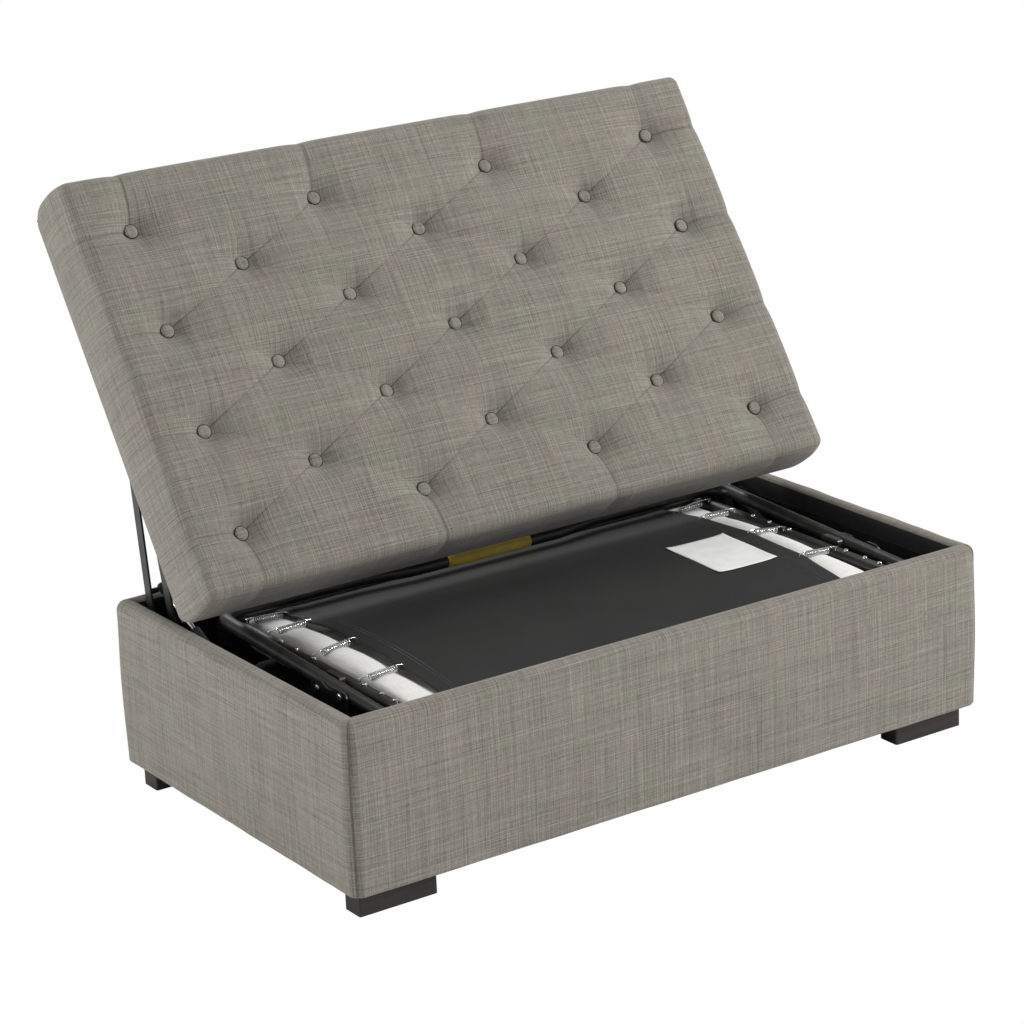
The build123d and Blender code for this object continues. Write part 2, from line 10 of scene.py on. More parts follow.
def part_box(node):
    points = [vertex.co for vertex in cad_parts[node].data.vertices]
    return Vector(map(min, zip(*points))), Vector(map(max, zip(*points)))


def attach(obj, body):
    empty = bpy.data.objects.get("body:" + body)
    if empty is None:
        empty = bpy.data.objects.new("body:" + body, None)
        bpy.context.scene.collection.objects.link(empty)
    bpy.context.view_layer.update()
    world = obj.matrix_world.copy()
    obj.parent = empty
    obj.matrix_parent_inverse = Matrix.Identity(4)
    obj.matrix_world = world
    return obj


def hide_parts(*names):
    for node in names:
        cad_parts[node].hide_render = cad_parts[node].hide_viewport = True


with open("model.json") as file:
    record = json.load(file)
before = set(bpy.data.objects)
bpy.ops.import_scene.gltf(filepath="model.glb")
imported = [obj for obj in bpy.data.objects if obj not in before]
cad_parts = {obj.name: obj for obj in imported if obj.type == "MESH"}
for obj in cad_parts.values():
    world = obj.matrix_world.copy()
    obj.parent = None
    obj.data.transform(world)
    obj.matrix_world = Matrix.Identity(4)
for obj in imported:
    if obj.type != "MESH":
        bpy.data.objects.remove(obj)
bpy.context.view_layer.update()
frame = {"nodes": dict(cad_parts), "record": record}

MM = 0.001
rng = np.random.default_rng(7)

# Places read from the frame
front_low, front_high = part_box("wall_cover_front")
half_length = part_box("wall_cover_right")[1].x
half_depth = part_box("wall_cover_back")[1].y
rim_top = front_high.z
cover_base = front_low.z

# Sizes of the upholstery
wall = 30 * MM
corner_round = 16 * MM
roll_round = 15 * MM
bottom_round = 4 * MM
board_offset = 12 * MM
board_top = rim_top - 30 * MM
lining_depth = 26.5 * MM
pitch_x, pitch_y = 296 * MM, 76 * MM


# Mesh helpers
def mesh_piece(name, points, faces, body, material, uv=None):
    """A smooth mesh from points and faces, with an optional flat map for each face corner."""
    mesh = bpy.data.meshes.new(name)
    mesh.from_pydata(np.asarray(points, float).tolist(), [], [list(map(int, face)) for face in faces])
    if uv is not None:
        layer = mesh.uv_layers.new(name="cloth")
        layer.data.foreach_set("uv", np.asarray(uv, np.float32).ravel())
    mesh.polygons.foreach_set("use_smooth", np.full(len(mesh.polygons), True))
    mesh.materials.append(material)
    mesh.update()
    obj = bpy.data.objects.new(name, mesh)
    bpy.context.scene.collection.objects.link(obj)
    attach(obj, body)
    return obj


def weld(mesh, distance=2e-6):
    """Merges points that fall together, which closes poles and takes out faces without area."""
    work = bmesh.new()
    work.from_mesh(mesh)
    bmesh.ops.remove_doubles(work, verts=work.verts, dist=distance)
    work.to_mesh(mesh)
    work.free()
    mesh.update()


def grid_faces(rows, cols, wrap_rows=False, wrap_cols=False):
    """Index quads of a rows by cols lattice, wrapped round where asked."""
    r = np.arange(rows if wrap_rows else rows - 1)[:, None]
    c = np.arange(cols if wrap_cols else cols - 1)[None, :]
    r1, c1 = (r + 1) % rows, (c + 1) % cols
    quad = np.stack(np.broadcast_arrays(r * cols + c, r * cols + c1, r1 * cols + c1, r1 * cols + c), -1)
    return quad.reshape(-1, 4)


def tube_points(path, radius, sides=10):
    """Rings of a round tube: each path point plus a circle square to the path, carried without twist."""
    path = np.asarray(path, float)
    along = np.gradient(path, axis=0)
    along /= np.linalg.norm(along, axis=1)[:, None]
    side = np.zeros_like(path)
    start = np.array([0, 0, 1.0]) if abs(along[0][2]) < 0.9 else np.array([1.0, 0, 0])
    side[0] = start - along[0] * along[0].dot(start)
    side[0] /= np.linalg.norm(side[0])
    for i in range(1, len(path)):
        step = side[i - 1] - along[i] * along[i].dot(side[i - 1])
        side[i] = step / np.linalg.norm(step)
    other = np.cross(along, side)
    angle = (np.arange(sides) * 2 * np.pi / sides)[None, :, None]
    ring = side[:, None] * np.cos(angle) + other[:, None] * np.sin(angle)
    return (path[:, None, :] + radius * ring).reshape(-1, 3)


def tube(path, radius, sides=10):
    """A closed round tube along a path, with a centre point closing each end."""
    path = np.asarray(path, float)
    points = tube_points(path, radius, sides)
    faces = [tuple(f) for f in grid_faces(len(path), sides, wrap_cols=True)]
    first, last = len(points), len(points) + 1
    points = np.vstack([points, path[0], path[-1]])
    end = (len(path) - 1) * sides
    faces += [(first, (i + 1) % sides, i) for i in range(sides)]
    faces += [(last, end + i, end + (i + 1) % sides) for i in range(sides)]
    return points, faces


def joined(parts):
    """Several (points, faces) pairs as one."""
    points, faces, start = [], [], 0
    for p, f in parts:
        points.append(p)
        faces += [tuple(int(i) + start for i in face) for face in f]
        start += len(p)
    return np.vstack(points), faces
def thin_sheet(top, thick):
    """A grid of points and its copy a thickness below, closed all round by a strip of quads."""
    along, across = top.shape[:2]
    top = top.reshape(-1, 3)
    below = len(top)
    quads = grid_faces(along, across)
    loop = np.concatenate([np.arange(across),
                           np.arange(1, along) * across + across - 1,
                           (along - 1) * across + np.arange(across - 2, -1, -1),
                           np.arange(along - 2, 0, -1) * across])
    following = np.roll(loop, -1)
    rim = np.stack([loop, loop + below, following + below, following], 1)
    points = np.vstack([top, top - np.array([0, 0, thick])])
    return points, np.vstack([quads, quads[:, ::-1] + below, rim])


# Materials
class Finish:
    """A node material with short calls to add and join its nodes."""

    def __init__(self, name):
        self.material = bpy.data.materials.new(name)
        self.material.use_nodes = True
        self.tree = self.material.node_tree
        self.shader = self.tree.nodes["Principled BSDF"]

    def node(self, kind, values=None, **settings):
        made = self.tree.nodes.new(kind)
        for key, value in settings.items():
            setattr(made, key, value)
        for key, value in (values or {}).items():
            made.inputs[key].default_value = value
        return made

    def join(self, start, end):
        self.tree.links.new(start, end)

    def place(self, kind="Object"):
        if kind == "UV":
            return self.node("ShaderNodeUVMap", uv_map="cloth").outputs["UV"]
        return self.node("ShaderNodeTexCoord").outputs["Object"]

    def noise(self, place, scale, stretch=(1, 1, 1), detail=2.0, rough=0.5):
        mapping = self.node("ShaderNodeMapping", {"Scale": stretch})
        self.join(place, mapping.inputs["Vector"])
        noise = self.node("ShaderNodeTexNoise", {"Scale": scale, "Detail": detail, "Roughness": rough})
        self.join(mapping.outputs["Vector"], noise.inputs["Vector"])
        return noise.outputs["Fac"]

    def spread(self, value, low, high, out_low=0.0, out_high=1.0):
        ramp = self.node("ShaderNodeMapRange", {"From Min": low, "From Max": high, "To Min": out_low,
                                                "To Max": out_high})
        self.join(value, ramp.inputs["Value"])
        return ramp.outputs["Result"]

    def calc(self, kind, a, b=0.0):
        made = self.node("ShaderNodeMath", operation=kind)
        self.join(a, made.inputs[0])
        if isinstance(b, (int, float)):
            made.inputs[1].default_value = b
        else:
            self.join(b, made.inputs[1])
        return made.outputs[0]

    def add(self, a, b):
        return self.calc("ADD", a, b)

    def times(self, a, b):
        return self.calc("MULTIPLY", a, b)

    def size(self, a):
        return self.calc("ABSOLUTE", a)

    def axes(self, place):
        """The X and Y of a place, as two values."""
        parts = self.node("ShaderNodeSeparateXYZ")
        self.join(place, parts.inputs[0])
        return parts.outputs["X"], parts.outputs["Y"]

    def mix(self, factor, a, b):
        made = self.node("ShaderNodeMix", data_type="RGBA")
        self.join(factor, made.inputs["Factor"])
        for socket, value in ((made.inputs[6], a), (made.inputs[7], b)):
            if isinstance(value, tuple):
                socket.default_value = (*value, 1)
            else:
                self.join(value, socket)
        return made.outputs[2]

    def bump(self, height, distance, strength=1.0):
        made = self.node("ShaderNodeBump", {"Distance": distance, "Strength": strength})
        self.join(height, made.inputs["Height"])
        self.join(made.outputs["Normal"], self.shader.inputs["Normal"])

    def colour(self, value):
        self.join(value, self.shader.inputs["Base Color"])

    def set(self, **values):
        for key, value in values.items():
            self.shader.inputs[key.replace("_", " ")].default_value = value
        return self


def thread_noise(f, along, across):
    """Slubs as noise stretched along the threads, where each thread starts at its own place."""
    threads_per_metre, slubs_per_metre = 540.0, 10.0
    start = f.node("ShaderNodeTexNoise", {"Scale": threads_per_metre / 3, "Detail": 0.0},
                   noise_dimensions="1D")
    f.join(across, start.inputs["W"])
    shift = f.times(start.outputs["Fac"], 9.0)
    at = f.node("ShaderNodeCombineXYZ")
    f.join(f.add(f.times(along, slubs_per_metre), shift), at.inputs[0])
    f.join(f.times(across, threads_per_metre), at.inputs[1])
    return f.noise(at.outputs[0], 1.0, detail=2, rough=0.6)


def linen(name, tufted=False, lined=False):
    """Slubby linen: warp and weft as stretched noise, over a slow drift from pinkish to greenish grey.

    Tufted linen adds painted shade along the thin crease lines between its buttons, and sinks them a
    little in the bump. Lined linen turns black on the box's inner side."""
    f = Finish(name)
    uv = f.place("UV")
    x, y = f.axes(uv)
    warp, weft = thread_noise(f, y, x), thread_noise(f, x, y)
    fine_warp = f.noise(uv, 1.0, (1900, 110, 1), 1)
    fine_weft = f.noise(uv, 1.0, (110, 1900, 1), 1)
    threads = f.add(f.spread(warp, 0.3, 0.7), f.spread(weft, 0.3, 0.7))
    fine = f.add(f.spread(fine_warp, 0.3, 0.7), f.spread(fine_weft, 0.3, 0.7))
    both = f.add(f.times(threads, 0.34), f.times(fine, 0.16))
    tint = f.spread(f.noise(uv, 1.0, (14, 14, 1), 3, 0.6), 0.35, 0.65)
    dark = f.mix(tint, (0.082, 0.073, 0.062), (0.076, 0.074, 0.060))
    light = f.mix(tint, (0.352, 0.318, 0.272), (0.338, 0.322, 0.268))
    shade = f.mix(f.spread(both, 0.20, 0.82), dark, light)
    height = both
    if tufted:
        fold = fold_shade_and_dip(f, uv)
        # Painted shade: the cloth's colour is darkened towards near black along the crease lines.
        shade = f.mix(f.times(fold, 0.62), shade, (0.030, 0.027, 0.023))
        height = f.add(both, f.times(fold, -1.6))
    if lined:
        shade = f.mix(inside_box(f), shade, (0.009, 0.009, 0.009))
    f.colour(shade)
    f.bump(height, 0.6 * MM, 0.7)
    f.set(Roughness=0.92, Sheen_Weight=0.2, Sheen_Roughness=0.5, Specular_IOR_Level=0.2)
    return f.material


def inside_box(f):
    """1 where a point lies further in than the padded roll's width, 0 elsewhere."""
    within = []
    for place, half in zip(f.axes(f.place()), (half_length, half_depth)):
        inner = half - lining_depth
        within.append(f.spread(f.size(place), inner, inner + 1 * MM, 1.0, 0.0))
    return f.times(*within)


def fold_shade_and_dip(f, uv):
    """Painted shade along the thin crease lines at each point of the lid's cloth map, from 0 to 1, also
    used as their dip in the bump.

    Between the buttons they are two sets of parallel lines, at whole values of x over the buttons' pitch
    plus or minus y over twice their pitch, dark near the buttons and faint half way. Beyond the outer
    buttons they run straight over the edges. Slow noise lets them wander a little."""
    x, y = f.axes(uv)
    wander = f.spread(f.noise(uv, 1.0, (16, 16, 1), 2), 0.0, 1.0, -0.011, 0.011)
    u, v = f.times(x, 1 / pitch_x), f.times(y, 0.5 / pitch_y)
    first = f.add(f.calc("SUBTRACT", u, v), wander)
    second = f.add(f.add(u, v), wander)
    reach_x, reach_y = f.size(x), f.size(y)
    edge_x, edge_y = 1.5 * pitch_x + 2 * MM, 3 * pitch_y + 2 * MM
    inside = f.times(f.calc("LESS_THAN", reach_x, edge_x), f.calc("LESS_THAN", reach_y, edge_y))
    line_pitch = pitch_x * 2 * pitch_y / math.hypot(pitch_x, 2 * pitch_y)
    marks = []
    for line, other, strength in ((second, first, 0.28), (first, second, 0.80)):
        gap = f.times(f.calc("PINGPONG", line, 0.5), line_pitch)
        near = f.spread(gap, 0.4 * MM, 1.8 * MM, 1.0, 0.0)
        fade = f.spread(f.calc("PINGPONG", other, 0.5), 0.05, 0.46, 1.0, 0.25)
        marks.append(f.times(f.times(f.times(near, fade), strength), inside))
    for across, run, edge, places in ((reach_x, reach_y, edge_y, (0.5 * pitch_x, 1.5 * pitch_x)),
                                      (reach_y, reach_x, edge_x, (pitch_y, 3 * pitch_y))):
        beyond = f.calc("GREATER_THAN", run, edge)
        short = f.spread(run, edge + 50 * MM, edge + 140 * MM, 1.0, 0.15)
        bend = f.add(across, f.times(wander, 0.30))
        for place in places:
            gap = f.size(f.calc("SUBTRACT", bend, place))
            near = f.spread(gap, 0.5 * MM, 2.2 * MM, 1.0, 0.0)
            marks.append(f.times(f.times(f.times(near, beyond), short), 0.55))
    darkest = marks[0]
    for mark in marks[1:]:
        darkest = f.calc("MAXIMUM", darkest, mark)
    return darkest


def weave(f, at, count):
    """Fine two-way threads: the mean of noise drawn out across X and noise drawn out along it."""
    coarse = 0.08 * count
    one = f.noise(at, 1.0, (count, coarse, coarse), 1)
    two = f.noise(at, 1.0, (coarse, count, count), 1)
    return f.times(f.add(one, two), 0.5)


def cloth(name, low, high, count, rough, sheen):
    """A plain tight cloth: its weave mixed half and half with a slow drift."""
    f = Finish(name)
    at = f.place()
    threads = weave(f, at, count)
    drift = f.noise(at, 11.0, detail=3)
    f.colour(f.mix(f.spread(f.times(f.add(threads, drift), 0.5), 0.38, 0.62), low, high))
    f.bump(threads, 0.3 * MM, 0.5)
    f.set(Roughness=rough, Sheen_Weight=sheen)
    return f.material


def ticking(name, black_from_x):
    """White mattress cloth that turns black from black_from_x outwards."""
    f = Finish(name)
    at = f.place()
    threads = weave(f, at, 700.0)
    white = f.mix(f.spread(threads, 0.38, 0.62), (0.74, 0.735, 0.71), (0.84, 0.835, 0.81))
    black_share = f.spread(f.size(f.axes(at)[0]), black_from_x, black_from_x + 2 * MM)
    f.colour(f.mix(black_share, white, (0.010, 0.010, 0.010)))
    f.bump(threads, 0.15 * MM, 0.4)
    f.set(Roughness=0.85, Sheen_Weight=0.05)
    return f.material


def paint(name, low, high, rough, metallic=0.0, speck=900.0):
    """Sprayed or stained finish: faint mottling and a fine orange peel."""
    f = Finish(name)
    at = f.place()
    mottle = f.noise(at, 34.0, detail=4)
    peel = f.noise(at, speck, detail=2)
    f.colour(f.mix(f.spread(mottle, 0.35, 0.65), low, high))
    shine = f.spread(f.noise(at, 60.0, detail=3), 0.3, 0.7, rough - 0.06, rough + 0.08)
    f.join(shine, f.shader.inputs["Roughness"])
    f.bump(peel, 0.12 * MM, 0.5)
    f.set(Metallic=metallic)
    return f.material


def wood_stain():
    """Espresso stained wood: long dark grain along X under a satin coat."""
    f = Finish("espresso_wood")
    at = f.place()
    grain = f.noise(at, 1.0, (9, 260, 260), 4, 0.6)
    f.colour(f.mix(f.spread(grain, 0.35, 0.65), (0.006, 0.004, 0.0035), (0.017, 0.011, 0.009)))
    f.bump(grain, 0.2 * MM, 0.5)
    f.set(Roughness=0.5, Coat_Weight=0.12, Coat_Roughness=0.35)
    return f.material


LINEN = linen("greige_linen")
TUFTED_LINEN = linen("tufted_greige_linen", tufted=True)
WALL_LINEN = linen("lined_greige_linen", lined=True)
LINING = cloth("black_lining", (0.006, 0.006, 0.006), (0.016, 0.015, 0.015), 1100.0, 0.95, 0.0)
DECK = cloth("deck_cloth", (0.004, 0.004, 0.004), (0.010, 0.010, 0.010), 900.0, 0.66, 0.02)
TICKING = ticking("white_ticking", 400 * MM)
# Lower pads' ticking: white, and black from 300 mm out to either side.
LOWER_TICKING = ticking("lower_pad_ticking", 300 * MM)
STEEL = paint("black_painted_steel", (0.010, 0.010, 0.010), (0.024, 0.023, 0.023), 0.36)
CHROME = paint("bright_plating", (0.62, 0.63, 0.64), (0.80, 0.80, 0.80), 0.16, 1.0)
RUBBER = paint("black_moulding", (0.012, 0.012, 0.012), (0.025, 0.025, 0.025), 0.55)
BOARD = paint("painted_board", (0.008, 0.008, 0.008), (0.018, 0.017, 0.016), 0.8)
FOOT = wood_stain()
CARD = paint("white_card", (0.78, 0.78, 0.77), (0.86, 0.86, 0.85), 0.45)
TAPE = paint("yellow_tape", (0.55, 0.40, 0.04), (0.62, 0.47, 0.07), 0.5)
THREAD = paint("grey_thread", (0.05, 0.05, 0.05), (0.10, 0.10, 0.10), 0.8)
# Painted shade: a dark ring around each button stands for the shadow in the gap between the button and the
# cloth.
SHADE_RING = paint("painted_shade_ring", (0.020, 0.018, 0.015), (0.040, 0.035, 0.030), 0.9)


def dress(node, material):
    """Gives a CAD node's object one material."""
    mesh = frame["nodes"][node].data
    mesh.materials.clear()
    mesh.materials.append(material)


slot_finish = {"linen": LINEN, "board": BOARD, "black_lining": LINING, "deck_cloth": DECK,
               "foot_finish": FOOT, "ticking": TICKING, "chrome": CHROME, "black_plastic": RUBBER,
               "label": CARD, "black_steel": STEEL}
for row in frame["record"]["subparts"]:
    dress(row["node"], slot_finish[row["material_slot"]])
for node in frame["nodes"]:
    if node.startswith("wall_board"):
        dress(node, LINING)


# Upholstered walls
def arc_run(centre, radius, start, end, count):
    """Points along an arc in the wall's section, as offset and height."""
    a = np.radians(np.linspace(start, end, count))
    return np.stack([centre[0] + radius * np.cos(a), centre[1] + radius * np.sin(a)], 1)


def wall_section():
    """The wall's section, as offset in from the outer face and height: up, over the roll and back down.

    The outer face swells outwards by a power of a half sine, to nothing at both its ends."""
    share = np.linspace(0, 1, 58)[1:-1]
    low_z, high_z = cover_base + bottom_round, rim_top - roll_round
    swell = 2.2 * MM * np.sin(np.pi * share) ** 1.5
    runs = [arc_run((bottom_round, low_z), bottom_round, 270, 180, 5),
            np.stack([-swell, low_z + share * (high_z - low_z)], 1),
            arc_run((roll_round, high_z), roll_round, 180, 0, 19),
            np.stack([np.full(4, wall), np.linspace(high_z - 4 * MM, board_top, 4)], 1),
            np.stack([np.full(3, board_offset), np.linspace(board_top, cover_base, 3)], 1)]
    return np.vstack(runs)


def wall_panel(name, side_half, face_half, turn, node):
    """One upholstered wall: its section carried from mitre to mitre, half way round each rounded corner.

    Points nearer the middle than the corner's radius are held on the mitre line. A shallow seam lies at
    each mitre and a slow ripple runs along the padded roll."""
    section = wall_section()
    step = 4 * MM
    arc = np.radians(np.linspace(45, 0, 7))[:-1]
    end_x = side_half - corner_round
    straight = np.linspace(-end_x, end_x, int(side_half / step))
    centre_x = np.concatenate([np.full(len(arc), -end_x), straight, np.full(len(arc), end_x)])
    angle = np.concatenate([-arc, np.zeros(len(straight)), arc[::-1]])
    length = np.concatenate([-end_x - corner_round * arc, straight, end_x + corner_round * arc[::-1]])
    offset, height = section[:, :1], section[:, 1:]
    seam = 1.6 * MM * np.exp(-((side_half - 6 * MM - np.abs(length)) / (3 * MM)) ** 2)
    ripple = 0.9 * MM * np.sin(length * 31 + side_half * 9) + 0.6 * MM * np.sin(length * 73 + 1.3)
    top = np.clip((height - (rim_top - 2 * roll_round)) / (2 * roll_round), 0, 1)
    face = offset < roll_round
    depth = offset + (seam + ripple * (0.35 + 0.65 * top)) * face
    reach = corner_round - depth
    x = centre_x + reach * np.sin(angle)
    y = -(face_half - corner_round) - reach * np.cos(angle)
    limit = side_half - np.maximum(depth, 0)
    x = np.clip(x, -limit, limit)
    y = np.where(depth > corner_round, -(face_half - depth), y)
    z = height + 0 * x
    c, s = math.cos(math.radians(turn)), math.sin(math.radians(turn))
    points = np.stack([x, y, z], -1).reshape(-1, 3) @ np.array([[c, s, 0], [-s, c, 0], [0, 0, 1]])
    rows, cols = len(section), len(length)
    quads = grid_faces(rows, cols, wrap_rows=True)
    column = np.arange(rows) * cols
    ends = [column.tolist(), (column + cols - 1)[::-1].tolist()]
    run = np.concatenate([[0], np.cumsum(np.linalg.norm(np.diff(section, axis=0), axis=1))])
    uv = np.stack(np.broadcast_arrays(length + turn * 0.11, run[:, None] + turn * 0.07), -1)
    flat = np.vstack([uv.reshape(-1, 2)[quads].reshape(-1, 2), np.zeros((2 * rows, 2))])
    obj = mesh_piece(name, points, quads.tolist() + ends, "box", WALL_LINEN, flat)
    for end in obj.data.polygons[-2:]:
        end.use_smooth = False
    weld(obj.data)
    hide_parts(node)


wall_panel("front_wall_cloth", half_length, half_depth, 0, "wall_cover_front")
wall_panel("right_wall_cloth", half_depth, half_length, 90, "wall_cover_right")
wall_panel("back_wall_cloth", half_length, half_depth, 180, "wall_cover_back")
wall_panel("left_wall_cloth", half_depth, half_length, 270, "wall_cover_left")

# The lid's own axes, from the flat board under its cushion
board_points = np.array([v.co for v in frame["nodes"]["lid_board"].data.vertices])
lid_angle = math.radians(55.9)
up_lid = np.array([0, math.cos(lid_angle), math.sin(lid_angle)])
out_lid = np.array([0, -math.sin(lid_angle), math.cos(lid_angle)])
lid_board_mid = 11 * MM
lid_origin = board_points.mean(0) - out_lid * lid_board_mid
lid_origin[0] = 0
lid_thick = 120 * MM
tuft_deep = 22 * MM
button_round = 10.6 * MM
button_rise = 4.4 * MM
button_seat = lid_thick - tuft_deep + 1.6 * MM


def to_object(local):
    """Points given along the lid, up the lid and out of its face, in the object's frame."""
    return lid_origin + local @ np.stack([[1.0, 0, 0], up_lid, out_lid])


def button_places():
    """Rows of four and three buttons by turns, from the lid's top edge down."""
    rows = []
    for row in range(7):
        count = 4 - row % 2
        rows.append([((i - (count - 1) / 2) * pitch_x, (3 - row) * pitch_y) for i in range(count)])
    return rows


rows = button_places()
buttons = np.array([p for r in rows for p in r])
creases = [(a, b) for up, down in zip(rows, rows[1:])
           for a in up for b in down if abs(a[0] - b[0]) < pitch_x]
past_edge = 20 * MM
pleats = []
for x, y in rows[0] + rows[-1]:
    pleats.append(((x, y), (x * 1.01, math.copysign(half_depth + past_edge, y))))
for r in rows[::2]:
    for x, y in (r[0], r[-1]):
        pleats.append(((x, y), (math.copysign(half_length + past_edge, x), y)))


def segment_distance(x, y, a, b):
    """Distance of each point to a straight crease, and how far along the crease it lies, from 0 to 1."""
    (ax, ay), (bx, by) = a, b
    dx, dy = bx - ax, by - ay
    t = np.clip(((x - ax) * dx + (y - ay) * dy) / (dx * dx + dy * dy), 0, 1)
    return np.hypot(x - ax - t * dx, y - ay - t * dy), t


def from_edge(x, y):
    """Distance in from the lid's nearest edge."""
    return np.minimum(half_length - np.abs(x), half_depth - np.abs(y))


def tufting(x, y):
    """Height of the face over a flat one: a crown, a deep cone at each button, narrow creases between
    buttons that fade half way, and pleats from the outer buttons to the edges.

    The cone and the creases fall off as the exponential of a power of the distance, and the cloth puffs up
    with its distance from the nearest crease. Past the padded edge the creases are gentler."""
    crown, puff_high, crease_deep = 3 * MM, 3 * MM, 1.5 * MM
    crease_wide, pleat_wide, puff_wide, cone_wide = 3.2 * MM, 3 * MM, 22 * MM, 24 * MM
    height = crown * (1 - np.abs(x / half_length) ** 4) * (1 - np.abs(y / half_depth) ** 4)
    near = np.full(x.shape, 1.0)
    for bx, by in buttons:
        near = np.minimum(near, np.hypot((x - bx), (y - by) * 1.05))
    nearest = np.full(x.shape, 1.0)
    line = np.zeros(x.shape)
    for a, b in creases:
        d, t = segment_distance(x, y, a, b)
        nearest = np.minimum(nearest, d)
        fade = 0.38 + 0.62 * np.abs(2 * t - 1) ** 1.5
        line = np.maximum(line, fade * np.exp(-(d / crease_wide) ** 1.3))
    for a, b in pleats:
        d = segment_distance(x, y, a, b)[0]
        nearest = np.minimum(nearest, d)
        line = np.maximum(line, 0.9 * np.exp(-(d / pleat_wide) ** 1.3))
    puff = puff_high * (1 - np.exp(-(nearest / puff_wide) ** 1.3))
    outside = np.maximum(near - 0.8 * button_round, 0)
    cone = tuft_deep * np.exp(-(outside / cone_wide) ** 1.15)
    strength = np.clip(from_edge(x, y) / (40 * MM), 0.45, 1)
    return height + puff - cone - crease_deep * line * strength


def box_lattice(counts):
    """The surface lattice of a box: whole-number points, outward quads, and each quad's side."""
    ny, nz = counts[1:]
    blocks, sides_of = [], []
    for axis in range(3):
        a, b = [i for i in range(3) if i != axis]
        for end in (0, counts[axis]):
            ia, ib = np.meshgrid(np.arange(counts[a]), np.arange(counts[b]), indexing="ij")
            corners_ab = [(0, 0), (1, 0), (1, 1), (0, 1)]
            if (end == 0) != (axis == 1):
                corners_ab = corners_ab[::-1]
            quad = np.zeros((counts[a] * counts[b], 4, 3), int)
            for k, (da, db) in enumerate(corners_ab):
                quad[:, k, a] = (ia + da).ravel()
                quad[:, k, b] = (ib + db).ravel()
                quad[:, k, axis] = end
            blocks.append(quad)
            sides_of.append(np.full(len(quad), axis * 2 + (end > 0)))
    quads = np.vstack(blocks)
    codes = (quads[..., 0] * (ny + 1) + quads[..., 1]) * (nz + 1) + quads[..., 2]
    unique, index = np.unique(codes.ravel(), return_inverse=True)
    k = unique % (nz + 1)
    j = unique // (nz + 1) % (ny + 1)
    i = unique // (nz + 1) // (ny + 1)
    return np.stack([i, j, k], 1), index.reshape(-1, 4), np.concatenate(sides_of)


def rounded_box(half, low, high, edge_round, corner, step):
    """A box with a rounded plan and rounded top edges: points, quads and a map unfolded from the top.

    Each lattice point is pulled to the plan's corner arc, then its top edge is rolled over a quarter
    circle."""
    hx, hy = half
    tiny = 1e-9
    counts = (int(2 * hx / step), int(2 * hy / step), max(4, int((high - low) / step)))
    lattice, quads, side = box_lattice(counts)
    box = lattice / np.array(counts)
    x, y, z = (2 * box[:, 0] - 1) * hx, (2 * box[:, 1] - 1) * hy, low + box[:, 2] * (high - low)
    below = (high - z)[quads]
    out_x = (1 * (side == 1) - 1 * (side == 0))[:, None]
    out_y = (1 * (side == 3) - 1 * (side == 2))[:, None]
    uv = np.stack([x[quads] + out_x * below, y[quads] + out_y * below], -1)
    inner_x, inner_y = np.clip(x, -hx + corner, hx - corner), np.clip(y, -hy + corner, hy - corner)
    dx, dy = x - inner_x, y - inner_y
    span = np.hypot(dx, dy)
    square = np.maximum(np.abs(dx), np.abs(dy))
    scale = np.where(span > tiny, square / np.maximum(span, tiny), 1)
    over = np.clip(square - (corner - edge_round), 0, edge_round)
    rise = np.clip(z - (high - edge_round), 0, edge_round)
    both = np.hypot(over, rise)
    roll = np.where(both > tiny, np.maximum(over, rise) / np.maximum(both, tiny), 1)
    factor = scale * np.where(square > tiny, (square - over + over * roll) / np.maximum(square, tiny), 1)
    points = np.stack([inner_x + dx * factor, inner_y + dy * factor, z - rise + rise * roll], 1)
    return points, quads, uv.reshape(-1, 2)


def lid_cushion():
    """The tufted lid: a rolled-over box whose face follows the tufting height, with its sides drawn in.

    The height comes in by a smooth step over the face's side. The sides carry a half sine belly, a groove
    under each pleat, and an inset that grows as the square of the nearness to the back and the face."""
    edge_round, groove, belly_out, near_side = 13 * MM, 1.7 * MM, 2 * MM, 12 * MM
    points, quads, uv = rounded_box((half_length, half_depth), 0.5 * MM, lid_thick, edge_round, edge_round,
                                    4 * MM)
    x, y, z = points.T
    share = np.clip((z - (lid_thick - 52 * MM)) / (52 * MM), 0, 1)
    share = share * share * (3 - 2 * share)
    z = z + share * (tufting(x, y) - 1 * MM)
    middle = np.clip((z - 4 * MM) / (lid_thick - 8 * MM), 0, 1)
    belly = belly_out * np.sin(np.pi * middle)
    for a, b in pleats:
        d = segment_distance(x, y, a, b)[0]
        near_edge = np.clip(1 - from_edge(x, y) / (30 * MM), 0, 1)
        drop = groove * np.exp(-(d / (13 * MM)) ** 1.5) * near_edge * np.clip(middle * 1.5 - 0.25, 0, 1)
        x = x - np.sign(x) * drop * (np.abs(y) < half_depth - 30 * MM)
        y = y - np.sign(y) * drop * (np.abs(x) < half_length - 30 * MM)
    on_side = from_edge(x, y) < near_side
    x = x + np.sign(x) * belly * on_side * (np.abs(x) > half_length - near_side)
    y = y + np.sign(y) * belly * on_side * (np.abs(y) > half_depth - near_side)
    back = np.clip(1 - z / (46 * MM), 0, 1)
    face = np.clip(1 - (lid_thick - z) / (50 * MM), 0, 1)
    inset = 7.5 * MM * back ** 2 + 5 * MM * face ** 2
    x, y = x * (1 - inset / half_length), y * (1 - inset / half_depth)
    points = to_object(np.stack([x, y, z], 1))
    obj = mesh_piece("tufted_lid_cloth", points, quads, "lid", TUFTED_LINEN, uv)
    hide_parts("lid_cushion")


